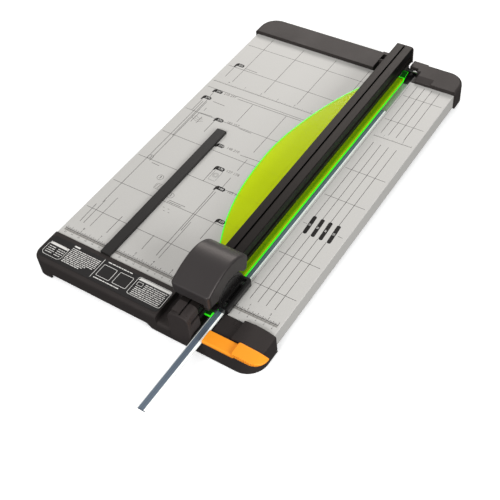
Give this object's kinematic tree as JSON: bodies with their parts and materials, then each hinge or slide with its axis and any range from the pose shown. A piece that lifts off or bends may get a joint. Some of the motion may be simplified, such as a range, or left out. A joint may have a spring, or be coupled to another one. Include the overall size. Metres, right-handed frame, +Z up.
{
  "type": "rotary paper trimmer",
  "caption": "Rotary paper trimmer: flat board, hinged rail with sliding disc-blade head, drawn-out cutting mat, orange mat catch, green paper guide and magnetic gauge bar.",
  "frame": {"origin": "on the table under the middle of the whole outline at rest, which includes the drawn-out mat and the catch's grip", "axes": "+Y from the front (paper stop) to the rear (hinge), +X from the paper side to the off-cut side, +Z up from the table"},
  "size_m": [0.3096, 0.6004, 0.0819],
  "materials": {
    "board_enamel": "satin light grey enamel",
    "tray_metal": "natural anodised",
    "brace_plastic": "moulded",
    "cap_plastic": "fine moulded texture",
    "label_film": "bare black film",
    "screw_steel": "zinc plated",
    "foot_rubber": "matte",
    "pin_steel": "polished",
    "bush_plastic": "moulded",
    "spring_steel": "spring wire",
    "rail_alu": "black anodised",
    "rail_end_plastic": "moulded",
    "guide_acrylic": "fluorescent, edge lit",
    "glide_plastic": "acetal",
    "hood_plastic": "satin moulded",
    "guard_plastic": "satin moulded",
    "holder_steel": "pressed steel",
    "blade_steel": "ground edge",
    "hub_plastic": "acetal",
    "mat_plastic": "translucent, worn by the blade",
    "lever_plastic": "satin orange",
    "gauge_plastic": "moulded",
    "magnet_ferrite": "matte"
  },
  "bodies": {
    "base": {"board_main_panel": "board_enamel", "board_side_panel": "board_enamel", "mat_tray": "tray_metal", "under_braces": "brace_plastic", "front_end_cap": "cap_plastic", "rear_end_cap": "cap_plastic", "label_plate": "label_film", "cap_screws": "screw_steel", "rubber_feet": "foot_rubber", "rail_bump_pad": "foot_rubber", "hinge_pin": "pin_steel", "hinge_bushes": "bush_plastic", "lever_detent": "spring_steel"},
    "rail": {"rail_extrusion": "rail_alu", "rail_front_end": "rail_end_plastic", "rail_rear_end": "rail_end_plastic", "rail_end_screws": "screw_steel", "guide_springs": "spring_steel"},
    "guide": {"paper_guide": "guide_acrylic", "guide_posts": "glide_plastic"},
    "carriage": {"carriage_saddle": "guard_plastic", "carriage_glides": "glide_plastic", "press_guide_pins": "pin_steel", "press_springs": "spring_steel"},
    "cutter_head": {"cutter_hood": "hood_plastic", "blade_holder": "holder_steel", "blade_guard": "guard_plastic", "blade_axle_screw": "pin_steel", "holder_screws": "screw_steel"},
    "blade": {"disc_blade": "blade_steel", "blade_hub": "hub_plastic", "blade_clip": "spring_steel"},
    "mat": {"cutting_mat": "mat_plastic"},
    "mat_lock": {"mat_lock_lever": "lever_plastic", "lever_screw": "screw_steel"},
    "gauge": {"gauge_bar": "gauge_plastic", "gauge_magnets": "magnet_ferrite", "gauge_pads": "foot_rubber"}
  },
  "joints": [
    {"name": "rail_lift", "type": "hinge", "parent": "base", "child": "rail", "pos_m": [0, 0.28325, 0.0296], "axis": [-1, 0, 0], "range_deg": [0, 40]},
    {"name": "guide_float", "type": "slide", "parent": "rail", "child": "guide", "axis": [0, 0, 1], "range_m": [0, 0.002], "stiffness_N_per_m": 900, "springref_m": -0.004, "deforming": ["guide_springs"]},
    {"name": "carriage_slide", "type": "slide", "parent": "rail", "child": "carriage", "axis": [0, 1, 0], "range_m": [-0.022, 0.3985]},
    {"name": "head_press", "type": "slide", "parent": "carriage", "child": "cutter_head", "axis": [0, 0, -1], "range_m": [0, 0.0022], "stiffness_N_per_m": 1500, "springref_m": -0.004, "deforming": ["press_springs"]},
    {"name": "blade_spin", "type": "hinge", "parent": "cutter_head", "child": "blade", "pos_m": [0.07615, -0.14325, 0.0433], "axis": [-1, 0, 0], "continuous": true},
    {"name": "mat_slide", "type": "slide", "parent": "base", "child": "mat", "axis": [0, 1, 0], "range_m": [-0.41, 0.0935]},
    {"name": "mat_lock_slide", "type": "slide", "parent": "base", "child": "mat_lock", "axis": [1, 0, 0], "range_m": [-0.0085, 0]},
    {"name": "gauge_slide", "type": "slide", "parent": "base", "child": "gauge", "axis": [1, 0, 0], "range_m": [-0.062, 0.06]}
  ],
  "couplings": [
    {"joint": "blade_spin", "follows": "carriage_slide", "rad_per_m": 71.43}
  ]
}
